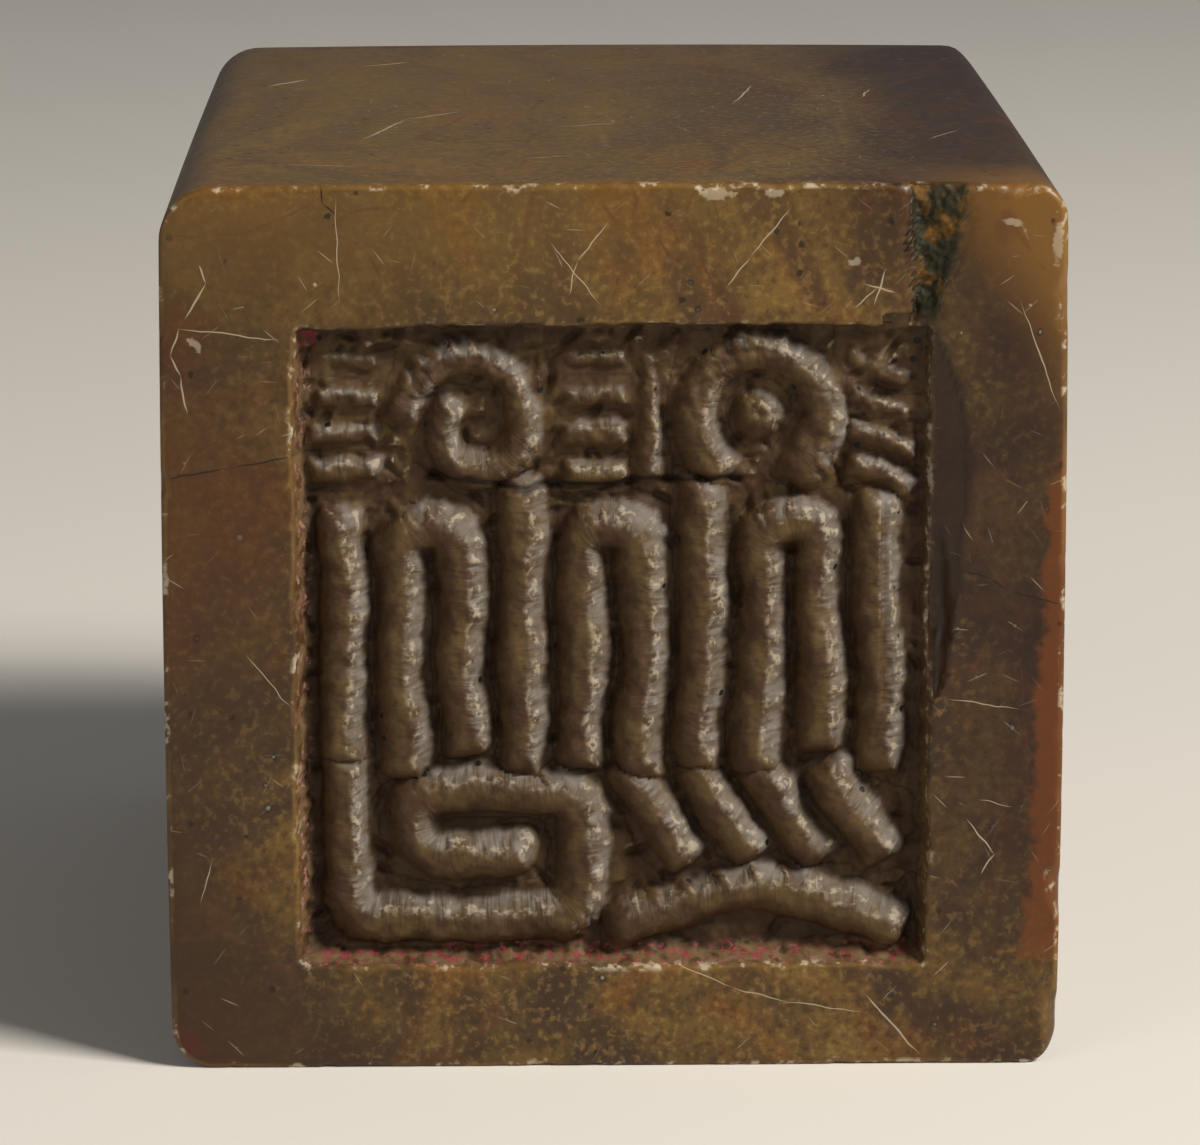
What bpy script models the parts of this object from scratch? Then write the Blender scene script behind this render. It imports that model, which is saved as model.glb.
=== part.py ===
"""A square soapstone seal: one block of stone that lies on its side, with its carved end facing -Y.

The carved end has a plain flat border round a sunken field, and the field holds raised, round-backed
strokes in three rows: curls above, upright bars in the middle, a square spiral and slanting strokes below.
The stone is a single piece, so the model is a single solid. Units are metres and +Z is up.
The origin is under the middle of the stone, on the surface that it lies on.
"""

import math

import bmesh
import bpy
from mathutils import Vector

# The block
BLOCK_WIDTH = 0.0303
BLOCK_LENGTH = 0.0410
BLOCK_HEIGHT = 0.0303

# How far each of its edges is worn round, as a radius
TOP_LEFT_RADIUS = 0.00180
TOP_RIGHT_RADIUS = 0.00115
FOOT_LEFT_RADIUS = 0.00150
FOOT_RIGHT_RADIUS = 0.00120
PLAIN_END_RADIUS = 0.00145
FACE_EDGE_RADIUS = 0.00022
EDGE_SEGMENTS = 5
FACE_EDGE_SEGMENTS = 2
FACE_EDGE_ANGLE = math.radians(45)

# The sunken field in the carved end: the border left round it, its depth and the slope of its walls
BORDER_LEFT = 0.0044
BORDER_RIGHT = 0.0045
BORDER_TOP = 0.0047
BORDER_FOOT = 0.0035
FIELD_DEPTH = 0.0014
WALL_RUN = 0.00045

# The raised strokes: how far their backs lie below the border, and how high above the floor the middle of a
# thin one may lie, as a share of its radius. Their radii, the rounding of their corners and the length of
# their tapered ends are shares of the distance from one upright column to the next.
CREST_DEPTH = 0.00030
HIGHEST_MIDDLE = 0.55
BAR_RADIUS_SHARE = 0.431
CURL_RADIUS_SHARE = 0.330
TICK_RADIUS_SHARE = 0.260
BOSS_RADIUS_SHARE = 0.460
CORNER_SHARE = 0.482
TAPER_SHARE = 0.225
END_TAPER = 0.80
STROKE_SIDES = 4

# Where the strokes lie, as shares of the field's floor: u from its left side, v from its foot
FIRST_COLUMN = 0.060
COLUMN_PITCH = 0.0978
UPRIGHT_SPANS = ((0, 0.342, 0.690), (3, 0.322, 0.742), (6, 0.330, 0.736), (9, 0.325, 0.704))
HAIRPIN_SPANS = ((1, 0.325, 0.696, 0.350), (4, 0.336, 0.702, 0.322), (7, 0.322, 0.700, 0.356))
SPIRAL_CORNERS = (
    (0.0, 0.292),
    (0.0, 0.052),
    (4.0, 0.052),
    (4.0, 0.262),
    (1.15, 0.262),
    (1.15, 0.157),
    (2.85, 0.157),
)
SLANT_COUNT = 4
SLANT_FIRST = 0.536
SLANT_PITCH = 0.112
SLANT_RUN = 0.066
SLANT_TOP = 0.276
SLANT_FOOT = 0.176
LOW_ARCH_ENDS = (0.530, 0.955)
LOW_ARCH_FOOT = 0.046
LOW_ARCH_RISE = 0.052
LEFT_CURL = (0.272, 0.858)
LEFT_CURL_RADII = (0.122, 0.046)
LEFT_CURL_TURN = (165.0, -205.0)
RIGHT_CURL = (0.742, 0.866)
RIGHT_CURL_SHARE = 0.106
RIGHT_CURL_TURN = (224.0, -44.0)
TICK_ROWS = (0.962, 0.902, 0.842, 0.782)
LEFT_TICK_SPAN = (0.026, 0.100)
MIDDLE_TICK_SPAN = (0.438, 0.506)
RIGHT_TICK_SPAN = (0.902, 0.972)
RIGHT_TICK_DROP = 0.028
MIDDLE_UPRIGHTS = (0.560,)
MIDDLE_UPRIGHT_SPAN = (0.785, 0.965)

# Breaks in the carved end. Each has the place of its middle, as shares across and up the whole face, and its
# half sizes in X, Y and Z. Its middle lies just outside the face, so that its rim is sharp.
BREAK_LIFT = 0.00006
VUG = ((0.856, 0.944), (0.00108, 0.00050, 0.00300))
FLAKE = ((0.853, 0.640), (0.00118, 0.00062, 0.00620))
EDGE_CHIPS = (
    ((0.612, 1.000), (0.00085, 0.00016, 0.00030)),
    ((0.988, 0.198), (0.00036, 0.00030, 0.00095)),
    ((0.985, 0.046), (0.00050, 0.00042, 0.00110)),
    ((0.995, 0.871), (0.00026, 0.00022, 0.00120)),
)

# The plain end's upper right corner is worn off: how deep, measured from a sharp corner, and the radius of
# the worn surface, in half diagonals of the block
WORN_DEPTH = 0.00150
WORN_RADIUS_SHARE = 1.22

STONE_COLOUR = (0.12, 0.065, 0.03, 1.0)
STONE_ROUGHNESS = 0.42

FACE_Y = -BLOCK_LENGTH / 2
FLOOR_LEFT = -BLOCK_WIDTH / 2 + BORDER_LEFT + WALL_RUN
FLOOR_RIGHT = BLOCK_WIDTH / 2 - BORDER_RIGHT - WALL_RUN
FLOOR_FOOT = BORDER_FOOT + WALL_RUN
FLOOR_TOP = BLOCK_HEIGHT - BORDER_TOP - WALL_RUN
COLUMN_STEP = COLUMN_PITCH * (FLOOR_RIGHT - FLOOR_LEFT)


def clear_scene():
    for old in list(bpy.data.objects):
        bpy.data.objects.remove(old)


def make_collection(name):
    made = bpy.data.collections.new(name)
    bpy.context.scene.collection.children.link(made)
    return made


def put_in(collection, obj, helper=False):
    """Links an object to one collection alone, and marks a helper as not rendered."""
    for old in list(obj.users_collection):
        old.objects.unlink(obj)
    collection.objects.link(obj)
    if helper:
        obj.hide_render = True
        obj.display_type = "WIRE"
    return obj


def stone_material():
    material = bpy.data.materials.new("soapstone")
    material.use_nodes = True
    shader = material.node_tree.nodes["Principled BSDF"]
    shader.inputs["Base Color"].default_value = STONE_COLOUR
    shader.inputs["Roughness"].default_value = STONE_ROUGHNESS
    shader.inputs["Metallic"].default_value = 0.0
    return material


def add_boolean(obj, name, operation, tools):
    """A Boolean with an object or, where tools is a collection, with all that is in it."""
    modifier = obj.modifiers.new(name, "BOOLEAN")
    modifier.operation = operation
    modifier.solver = "EXACT"
    if isinstance(tools, bpy.types.Collection):
        modifier.operand_type = "COLLECTION"
        modifier.collection = tools
    else:
        modifier.object = tools
    return modifier


def edge_radius(ends):
    """The radius of an edge of the uncarved box, told from its two ends. It is 0 at the carved end."""
    (ax, ay, az), (bx, by, bz) = ends
    if ay < 0 and by < 0:
        return 0.0
    if ay > 0 and by > 0:
        return PLAIN_END_RADIUS
    if az > 0:
        return TOP_LEFT_RADIUS if ax < 0 else TOP_RIGHT_RADIUS
    return FOOT_LEFT_RADIUS if ax < 0 else FOOT_RIGHT_RADIUS


def make_block(collection):
    """The stone before carving: a box with its long edges rounded first, and the carved end's edges last."""
    mesh = bpy.data.meshes.new("seal")
    shape = bmesh.new()
    bmesh.ops.create_cube(shape, size=1.0)
    radii = [edge_radius([vertex.co for vertex in edge.verts]) for edge in shape.edges]
    weights = shape.edges.layers.float.new("bevel_weight_edge")
    for edge, radius in zip(shape.edges, radii):
        edge[weights] = radius / max(radii)
    bmesh.ops.scale(shape, vec=(BLOCK_WIDTH, BLOCK_LENGTH, BLOCK_HEIGHT), verts=shape.verts)
    bmesh.ops.translate(shape, vec=(0, 0, BLOCK_HEIGHT / 2), verts=shape.verts)
    shape.to_mesh(mesh)
    shape.free()
    block = put_in(collection, bpy.data.objects.new("seal", mesh))
    worn = block.modifiers.new("worn edges", "BEVEL")
    worn.limit_method = "WEIGHT"
    worn.width = max(radii)
    worn.segments = EDGE_SEGMENTS
    crisp = block.modifiers.new("crisp edges of the carved end", "BEVEL")
    crisp.limit_method = "ANGLE"
    crisp.angle_limit = FACE_EDGE_ANGLE
    crisp.width = FACE_EDGE_RADIUS
    crisp.segments = FACE_EDGE_SEGMENTS
    return block


def make_field_cutter(collection):
    """The sunken field's space: a box that widens from the floor outwards, so that the walls slope."""
    mesh = bpy.data.meshes.new("field space")
    shape = bmesh.new()
    bmesh.ops.create_cube(shape, size=1.0)
    for vertex in shape.verts:
        # The box's outer end is as far outside the stone as the floor is inside.
        spread = 0.0 if vertex.co.y > 0 else 2 * WALL_RUN
        vertex.co.x = FLOOR_RIGHT + spread if vertex.co.x > 0 else FLOOR_LEFT - spread
        vertex.co.z = FLOOR_TOP + spread if vertex.co.z > 0 else FLOOR_FOOT - spread
        vertex.co.y = FACE_Y + math.copysign(FIELD_DEPTH, vertex.co.y)
    shape.to_mesh(mesh)
    shape.free()
    return put_in(collection, bpy.data.objects.new("field space", mesh), helper=True)


def on_floor(u, v):
    """The X and Z of a place given as shares of the field's floor."""
    return FLOOR_LEFT + u * (FLOOR_RIGHT - FLOOR_LEFT), FLOOR_FOOT + v * (FLOOR_TOP - FLOOR_FOOT)


def column(index):
    """The u of an upright column of strokes."""
    return FIRST_COLUMN + index * COLUMN_PITCH


def toward(here, other):
    """The direction from one place to another, with a length of one."""
    reach = math.dist(here, other)
    return (other[0] - here[0]) / reach, (other[1] - here[1]) / reach


def round_corners(corners, steps=4):
    """The points of a path through these corners, with each inner corner, a right angle, turned by an arc."""
    radius = CORNER_SHARE * COLUMN_STEP
    points = [corners[0]]
    for before, here, after in zip(corners, corners[1:], corners[2:]):
        back, ahead = toward(here, before), toward(here, after)
        for step in range(steps + 1):
            turn = math.pi / 2 * step / steps
            back_share = radius * (1 - math.sin(turn))
            ahead_share = radius * (1 - math.cos(turn))
            points.append(tuple(here[k] + back[k] * back_share + ahead[k] * ahead_share for k in (0, 1)))
    points.append(corners[-1])
    return points


def spiral(middle, radii, turn, steps):
    """Points in X and Z of an arc or a spiral. Radii are shares of the floor, and turn is in degrees."""
    points = []
    for step in range(steps + 1):
        t = step / steps
        radius = radii[0] + t * (radii[1] - radii[0])
        angle = math.radians(turn[0] + t * (turn[1] - turn[0]))
        points.append(on_floor(middle[0] + radius * math.cos(angle), middle[1] + radius * math.sin(angle)))
    return points


def stroke_radius(share):
    return share * COLUMN_STEP


def stroke_middle(radius):
    """The Y of a stroke's middle line. Its back is below the border, and a thin one still meets the floor."""
    return FACE_Y + max(CREST_DEPTH + radius, FIELD_DEPTH - HIGHEST_MIDDLE * radius)


def make_stroke(collection, name, path, share=BAR_RADIUS_SHARE):
    """One raised stroke: a round bar along the path, sunk in the floor, so that its back is a ridge."""
    radius = stroke_radius(share)
    curve = bpy.data.curves.new(name, "CURVE")
    curve.dimensions = "3D"
    curve.bevel_depth = radius
    curve.bevel_resolution = STROKE_SIDES
    curve.use_fill_caps = True
    line = curve.splines.new("POLY")
    line.points.add(len(path) - 1)
    y = stroke_middle(radius)
    for index, (x, z) in enumerate(path):
        line.points[index].co = (x, y, z, 1.0)
        line.points[index].radius = END_TAPER if index in (0, len(path) - 1) else 1.0
    bar = bpy.data.objects.new(name, curve)
    bpy.context.scene.collection.objects.link(bar)
    return as_mesh(collection, bar)


def as_mesh(collection, curve_object):
    """A closed mesh of a curve object, which takes the curve's place."""
    bpy.context.view_layer.update()
    graph = bpy.context.evaluated_depsgraph_get()
    mesh = bpy.data.meshes.new_from_object(curve_object.evaluated_get(graph))
    shape = bmesh.new()
    shape.from_mesh(mesh)
    bmesh.ops.remove_doubles(shape, verts=shape.verts, dist=1e-6)
    bmesh.ops.recalc_face_normals(shape, faces=shape.faces)
    shape.to_mesh(mesh)
    shape.free()
    made = bpy.data.objects.new(curve_object.name + " mesh", mesh)
    made.matrix_world = curve_object.matrix_world
    bpy.data.objects.remove(curve_object)
    return put_in(collection, made, helper=True)


def with_ends(path):
    """The path with one more point near each end, where the taper of a stroke's end begins."""
    rows = list(path)
    for _ in range(2):
        (ax, az), (dx, dz) = rows[0], toward(rows[0], rows[1])
        reach = min(TAPER_SHARE * COLUMN_STEP, math.dist(rows[0], rows[1]) / 2)
        rows.insert(1, (ax + dx * reach, az + dz * reach))
        rows.reverse()
    return rows


def carve_bars(collection):
    """The middle row: upright bars, and pairs of bars joined at their tops."""
    for index, foot, top in UPRIGHT_SPANS:
        path = [on_floor(column(index), foot), on_floor(column(index), top)]
        make_stroke(collection, f"upright {index}", with_ends(path))
    for index, left_foot, top, right_foot in HAIRPIN_SPANS:
        corners = [
            on_floor(column(index), left_foot),
            on_floor(column(index), top),
            on_floor(column(index + 1), top),
            on_floor(column(index + 1), right_foot),
        ]
        make_stroke(collection, f"hairpin {index}", with_ends(round_corners(corners)))


def carve_low_row(collection):
    """The lowest row: a square spiral at the left, and slanting strokes over a low arch at the right."""
    corners = [on_floor(FIRST_COLUMN + step * COLUMN_PITCH, v) for step, v in SPIRAL_CORNERS]
    make_stroke(collection, "square spiral", with_ends(round_corners(corners)))
    for index in range(SLANT_COUNT):
        u = SLANT_FIRST + index * SLANT_PITCH
        path = [on_floor(u, SLANT_TOP), on_floor(u + SLANT_RUN, SLANT_FOOT)]
        make_stroke(collection, f"slant {index}", with_ends(path))
    steps = 8
    arch = []
    for step in range(steps + 1):
        t = step / steps
        u = LOW_ARCH_ENDS[0] + t * (LOW_ARCH_ENDS[1] - LOW_ARCH_ENDS[0])
        arch.append(on_floor(u, LOW_ARCH_FOOT + LOW_ARCH_RISE * math.sin(math.pi * t)))
    make_stroke(collection, "low arch", with_ends(arch))


def carve_curls(collection):
    """The upper row: a curl, an open ring round a boss, and short strokes beside and between them."""
    left = spiral(LEFT_CURL, LEFT_CURL_RADII, LEFT_CURL_TURN, steps=22)
    make_stroke(collection, "left curl", with_ends(left), CURL_RADIUS_SHARE)
    right = spiral(RIGHT_CURL, (RIGHT_CURL_SHARE, RIGHT_CURL_SHARE), RIGHT_CURL_TURN, steps=14)
    make_stroke(collection, "right curl", with_ends(right))
    for index, v in enumerate(TICK_ROWS):
        left_tick = [on_floor(LEFT_TICK_SPAN[0], v), on_floor(LEFT_TICK_SPAN[1], v)]
        middle_tick = [on_floor(MIDDLE_TICK_SPAN[0], v), on_floor(MIDDLE_TICK_SPAN[1], v)]
        right_tick = [on_floor(RIGHT_TICK_SPAN[0], v), on_floor(RIGHT_TICK_SPAN[1], v - RIGHT_TICK_DROP)]
        for place, path in (("left", left_tick), ("middle", middle_tick), ("right", right_tick)):
            make_stroke(collection, f"{place} tick {index}", path, TICK_RADIUS_SHARE)
    for index, u in enumerate(MIDDLE_UPRIGHTS):
        path = [on_floor(u, v) for v in MIDDLE_UPRIGHT_SPAN]
        make_stroke(collection, f"middle upright {index}", path, TICK_RADIUS_SHARE)


def make_ball(collection, name, middle, half_size, segments=20, rings=12):
    """A squashed ball whose middle is an (X, Z) place and a Y."""
    mesh = bpy.data.meshes.new(name)
    shape = bmesh.new()
    bmesh.ops.create_uvsphere(shape, u_segments=segments, v_segments=rings, radius=1.0)
    bmesh.ops.scale(shape, vec=half_size, verts=shape.verts)
    bmesh.ops.translate(shape, vec=middle, verts=shape.verts)
    shape.to_mesh(mesh)
    shape.free()
    return put_in(collection, bpy.data.objects.new(name, mesh), helper=True)


def make_boss(collection):
    """The round boss inside the open ring, whose back is level with the strokes'."""
    radius = stroke_radius(BOSS_RADIUS_SHARE)
    x, z = on_floor(*RIGHT_CURL)
    make_ball(collection, "boss", (x, stroke_middle(radius), z), (radius,) * 3, segments=16, rings=10)


def make_breaks(collection):
    """The natural hollow, the flake lost from the border's inner side, and the chipped edges."""
    hollows = [("vug", *VUG), ("flake", *FLAKE)]
    hollows += [(f"edge chip {index}", place, size) for index, (place, size) in enumerate(EDGE_CHIPS)]
    for name, (across, up), half_size in hollows:
        middle = ((across - 0.5) * BLOCK_WIDTH, FACE_Y - BREAK_LIFT, up * BLOCK_HEIGHT)
        make_ball(collection, name, middle, half_size)


def make_worn_sphere(collection):
    """A sphere that holds the whole stone, but for the corner that is worn away."""
    corner = Vector((BLOCK_WIDTH / 2, BLOCK_LENGTH / 2, BLOCK_HEIGHT))
    inward = Vector((0, 0, BLOCK_HEIGHT / 2)) - corner
    radius = WORN_RADIUS_SHARE * inward.length
    middle = corner + inward.normalized() * (WORN_DEPTH + radius)
    return make_ball(collection, "worn sphere", middle, (radius,) * 3, segments=96, rings=64)


def main():
    clear_scene()
    seal_parts = make_collection("soapstone seal")
    field_tools = make_collection("field tools")
    stroke_tools = make_collection("strokes")
    break_tools = make_collection("breaks")
    block = make_block(seal_parts)
    block.data.materials.append(stone_material())
    add_boolean(block, "worn corner", "INTERSECT", make_worn_sphere(field_tools))
    add_boolean(block, "sunken field", "DIFFERENCE", make_field_cutter(field_tools))
    carve_bars(stroke_tools)
    carve_low_row(stroke_tools)
    carve_curls(stroke_tools)
    make_boss(stroke_tools)
    add_boolean(block, "raised strokes", "UNION", stroke_tools)
    make_breaks(break_tools)
    add_boolean(block, "breaks", "DIFFERENCE", break_tools)
    block.data.shade_smooth()
    even = block.modifiers.new("even shading of the flats", "WEIGHTED_NORMAL")
    even.keep_sharp = True


main()
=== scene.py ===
"""Dresses the soapstone seal: its chiselled end, its polished, scratched sides, and a plain studio."""

import itertools

import bpy
import numpy as np
from mathutils import Matrix, Vector


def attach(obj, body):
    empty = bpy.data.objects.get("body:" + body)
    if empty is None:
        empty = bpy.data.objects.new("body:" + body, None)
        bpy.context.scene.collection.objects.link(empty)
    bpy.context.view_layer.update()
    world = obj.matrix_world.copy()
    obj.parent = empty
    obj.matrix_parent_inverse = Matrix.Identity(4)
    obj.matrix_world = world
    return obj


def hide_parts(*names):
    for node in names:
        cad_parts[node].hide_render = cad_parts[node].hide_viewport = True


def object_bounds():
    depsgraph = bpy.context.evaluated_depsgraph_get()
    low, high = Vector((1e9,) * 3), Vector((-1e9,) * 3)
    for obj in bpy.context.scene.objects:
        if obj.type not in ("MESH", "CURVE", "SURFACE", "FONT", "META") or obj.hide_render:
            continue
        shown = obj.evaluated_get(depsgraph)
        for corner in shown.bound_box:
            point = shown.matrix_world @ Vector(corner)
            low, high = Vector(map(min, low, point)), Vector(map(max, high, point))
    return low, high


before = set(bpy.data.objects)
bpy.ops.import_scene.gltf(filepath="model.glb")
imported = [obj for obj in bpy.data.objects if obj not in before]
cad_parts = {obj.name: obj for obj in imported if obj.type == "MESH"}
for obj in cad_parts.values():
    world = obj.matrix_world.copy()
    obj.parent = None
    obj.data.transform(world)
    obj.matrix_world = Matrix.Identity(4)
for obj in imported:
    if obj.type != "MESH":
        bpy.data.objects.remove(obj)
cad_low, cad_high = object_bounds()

# The stone of the seal: one block of soapstone, sawn and rubbed square, waxed, and worn round by hands. Its
# front end was cut with a small chisel: raised strokes in a sunken field, inside a flat polished border.
# The mesh is one skin in millimetres: a fine grid over the field, rings over the border, coarser behind.
METRES = 0.001
LOW = np.array(cad_low) / METRES
HIGH = np.array(cad_high) / METRES
HALF_WIDTH = (HIGH[0] - LOW[0]) / 2
HALF_HEIGHT = (HIGH[2] - LOW[2]) / 2
FRONT = LOW[1]
BACK = HIGH[1]
TOP_LEFT_RADIUS = 1.80
TOP_RIGHT_RADIUS = 1.15
FOOT_LEFT_RADIUS = 1.50
FOOT_RIGHT_RADIUS = 1.20
BACK_RADIUS = 1.45
CRISP_RADIUS = 0.20
BULGE = 0.13
FACE_ROUNDING = 0.07

FIELD_LEFT = LOW[0] + 4.4
FIELD_RIGHT = HIGH[0] - 4.5
FIELD_FOOT = LOW[2] + 3.5
FIELD_TOP = HIGH[2] - 4.7
FIELD_DEPTH = 1.40
WALL_RUN = 0.45
WALL_SLOPES = (0.62, 0.42, 0.70, 0.40)

GRID_MARGIN = 0.26
GRID_COLUMNS = 244
GRID_ROWS = 256
CORNER_CROWDING = 0.45


def noise(x, y, z, cell, seed):
    """Random heights at the corners of cubes, blended smoothly across each cube, from -1 to 1."""
    table = np.random.default_rng(seed).uniform(-1, 1, (32, 32, 32))
    place = np.stack(np.broadcast_arrays(x, y, z)) / cell
    corner = np.floor(place).astype(int)
    share = place - corner
    share = share * share * (3 - 2 * share)
    total = np.zeros(place.shape[1:])
    for step in itertools.product((0, 1), repeat=3):
        weight = np.ones(place.shape[1:])
        for axis in range(3):
            weight = weight * (share[axis] if step[axis] else 1 - share[axis])
        at = [(corner[axis] + step[axis]) % 32 for axis in range(3)]
        total += weight * table[at[0], at[1], at[2]]
    return total


def ramp(value, low, high):
    """From 0 at low to 1 at high, with level ends."""
    share = np.clip((value - low) / (high - low), 0, 1)
    return share * share * (3 - 2 * share)


def outline(across, up, inset):
    """The block's outline, shrunk by inset, for places on a square from -1 to 1. A place in a corner is drawn
    in to that corner's arc, along the line to the arc's middle."""
    wide = HALF_WIDTH - inset
    tall = HALF_HEIGHT - inset
    crowd = CORNER_CROWDING
    x = wide * ((1 - crowd) * across + crowd * np.sin(np.pi / 2 * across))
    z = tall * ((1 - crowd) * up + crowd * np.sin(np.pi / 2 * up))
    top = np.where(across < 0, TOP_LEFT_RADIUS, TOP_RIGHT_RADIUS)
    foot = np.where(across < 0, FOOT_LEFT_RADIUS, FOOT_RIGHT_RADIUS)
    radius = np.maximum(np.where(up > 0, top, foot) - inset, 0.1)
    over_x = np.maximum(np.abs(x) - (wide - radius), 0)
    over_z = np.maximum(np.abs(z) - (tall - radius), 0)
    reach = np.maximum(np.hypot(over_x, over_z), 1e-9)
    pull = np.where((over_x > 0) & (over_z > 0), radius / reach, 1)
    x = np.sign(x) * (np.abs(x) + over_x * (pull - 1))
    z = np.sign(z) * (np.abs(z) + over_z * (pull - 1))
    return x, z + HALF_HEIGHT


def near_path(x, z, path):
    """The distance to a path of straight stretches, the way along it to the nearest place, and the step
    there. Distances along and aside are added as fourth powers, so that a stroke's ends are nearly square."""
    distance = np.full(x.shape, np.inf)
    along = np.zeros(x.shape)
    step_x = np.zeros(x.shape)
    step_z = np.zeros(x.shape)
    run = 0.0
    for (ax, az), (bx, bz) in zip(path, path[1:]):
        length = np.hypot(bx - ax, bz - az)
        share = np.clip(((x - ax) * (bx - ax) + (z - az) * (bz - az)) / length**2, 0, 1)
        off_x = x - ax - share * (bx - ax)
        off_z = z - az - share * (bz - az)
        off_along = (off_x * (bx - ax) + off_z * (bz - az)) / length
        off_aside = (off_z * (bx - ax) - off_x * (bz - az)) / length
        off = (off_along**4 + off_aside**4) ** 0.25
        nearer = off < distance
        distance = np.where(nearer, off, distance)
        along = np.where(nearer, run + share * length, along)
        step_x = np.where(nearer, off_x, step_x)
        step_z = np.where(nearer, off_z, step_z)
        run += length
    return distance, along, step_x, step_z


# The strokes: where their middle lines run, as shares of the field's floor. u runs from the left and v from
# the foot. Three rows: curls above, upright bars in the middle, a square spiral and slanting bars below.
COLUMN_FIRST = 0.060
COLUMN_PITCH = 0.0978
UPRIGHTS = ((0, 0.342, 0.690), (3, 0.322, 0.742), (6, 0.330, 0.736), (9, 0.325, 0.704))
HAIRPINS = ((1, 0.325, 0.696, 0.350), (4, 0.336, 0.702, 0.322), (7, 0.322, 0.700, 0.356))
SPIRAL_COLUMNS = (0.0, 0.0, 4.0, 4.0, 1.15, 1.15, 2.85)
SPIRAL_HEIGHTS = (0.292, 0.052, 0.052, 0.262, 0.262, 0.157, 0.157)
SLANTS = (0.536, 0.648, 0.760, 0.872)
SLANT_RUN = 0.066
SLANT_TOP = 0.276
SLANT_FOOT = 0.176
ARCH_ENDS = (0.530, 0.955)
ARCH_FOOT = 0.046
ARCH_RISE = 0.052
LEFT_CURL = (0.272, 0.858)
LEFT_CURL_RADII = (0.122, 0.046)
LEFT_CURL_TURN = (165, -205)
RIGHT_CURL = (0.742, 0.866)
RIGHT_CURL_RADII = (0.106, 0.106)
RIGHT_CURL_TURN = (224, -44)
BOSS_RADII = (0.012, 0.012)
TICKS = (0.962, 0.902, 0.842, 0.782)
LEFT_TICK = (0.026, 0.100)
MIDDLE_TICK = (0.438, 0.506)
RIGHT_TICK = (0.902, 0.972)
RIGHT_TICK_DROP = 0.028
POST = (0.560, 0.785, 0.965)

FLOOR_WIDE = FIELD_RIGHT - FIELD_LEFT - 2 * WALL_RUN
FLOOR_TALL = FIELD_TOP - FIELD_FOOT - 2 * WALL_RUN
COLUMN_STEP = COLUMN_PITCH * FLOOR_WIDE
CORNER_ARC = 0.482 * COLUMN_STEP


def on_floor(u, v):
    """The X and Z of a place on the field's floor."""
    return FIELD_LEFT + WALL_RUN + u * FLOOR_WIDE, FIELD_FOOT + WALL_RUN + v * FLOOR_TALL


def round_corners(corners):
    """A path whose inner corners, all right angles, are turned by arcs."""
    corners = [np.array(corner) for corner in corners]
    path = [corners[0]]
    for before, here, after in zip(corners, corners[1:], corners[2:]):
        back = (before - here) / np.linalg.norm(before - here)
        ahead = (after - here) / np.linalg.norm(after - here)
        for turn in np.linspace(0, np.pi / 2, 5):
            path.append(here + CORNER_ARC * (back * (1 - np.sin(turn)) + ahead * (1 - np.cos(turn))))
    return path + [corners[-1]]


def curl(middle, radii, turn, count=24):
    """An arc or spiral whose radius and direction both change evenly."""
    share = np.linspace(0, 1, count)
    radius = radii[0] + share * (radii[1] - radii[0])
    angle = np.radians(turn[0] + share * (turn[1] - turn[0]))
    x, z = on_floor(middle[0] + radius * np.cos(angle), middle[1] + radius * np.sin(angle))
    return list(zip(x, z))


def column(index):
    """The share across the floor of an upright column's middle: the first one's plus whole steps."""
    return COLUMN_FIRST + index * COLUMN_PITCH


bars = [[on_floor(column(i), foot), on_floor(column(i), top)] for i, foot, top in UPRIGHTS]
for i, left_foot, top, right_foot in HAIRPINS:
    left, right = column(i), column(i + 1)
    ends = [(left, left_foot), (left, top), (right, top), (right, right_foot)]
    bars.append(round_corners([on_floor(u, v) for u, v in ends]))
bars.append(round_corners([on_floor(column(c), v) for c, v in zip(SPIRAL_COLUMNS, SPIRAL_HEIGHTS)]))
bars += [[on_floor(u, SLANT_TOP), on_floor(u + SLANT_RUN, SLANT_FOOT)] for u in SLANTS]
bow = np.linspace(0, 1, 9)
bow_u = ARCH_ENDS[0] + bow * (ARCH_ENDS[1] - ARCH_ENDS[0])
bars.append([on_floor(u, v) for u, v in zip(bow_u, ARCH_FOOT + ARCH_RISE * np.sin(np.pi * bow))])
bars.append(curl(RIGHT_CURL, RIGHT_CURL_RADII, RIGHT_CURL_TURN))
curls = [curl(LEFT_CURL, LEFT_CURL_RADII, LEFT_CURL_TURN)]
thin = [[on_floor(POST[0], POST[1]), on_floor(POST[0], POST[2])]]
for v in TICKS:
    thin.append([on_floor(LEFT_TICK[0], v), on_floor(LEFT_TICK[1], v)])
    thin.append([on_floor(MIDDLE_TICK[0], v), on_floor(MIDDLE_TICK[1], v)])
    thin.append([on_floor(RIGHT_TICK[0], v), on_floor(RIGHT_TICK[1], v - RIGHT_TICK_DROP)])
boss = [curl(RIGHT_CURL, BOSS_RADII, (0, 360), count=13)]

# How each kind of stroke is cut: the depth of its back below the border, how far its flanks fall, the reach
# at which they have fallen that far, and how square its back is. The chisel came from the upper right, so the
# flanks on CHISEL_SIDE are broad, scaly facets and the others are smooth and steep.
BAR_CUT = (0.30, 1.12, 1.02, 3.0)
CURL_CUT = (0.36, 1.05, 0.84, 2.8)
THIN_CUT = (0.60, 0.80, 0.62, 2.4)
BOSS_CUT = (0.34, 1.15, 0.80, 2.2)
CHISEL_SIDE = (0.83, 0.56)
FACET_SQUARE = 1.9
WANDER = ((2.3, 0.19), (0.75, 0.09), (0.30, 0.035))
CHATTER_STEP = 0.40
CHATTER_DEPTH = 0.07
SCOOPS = 760


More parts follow.
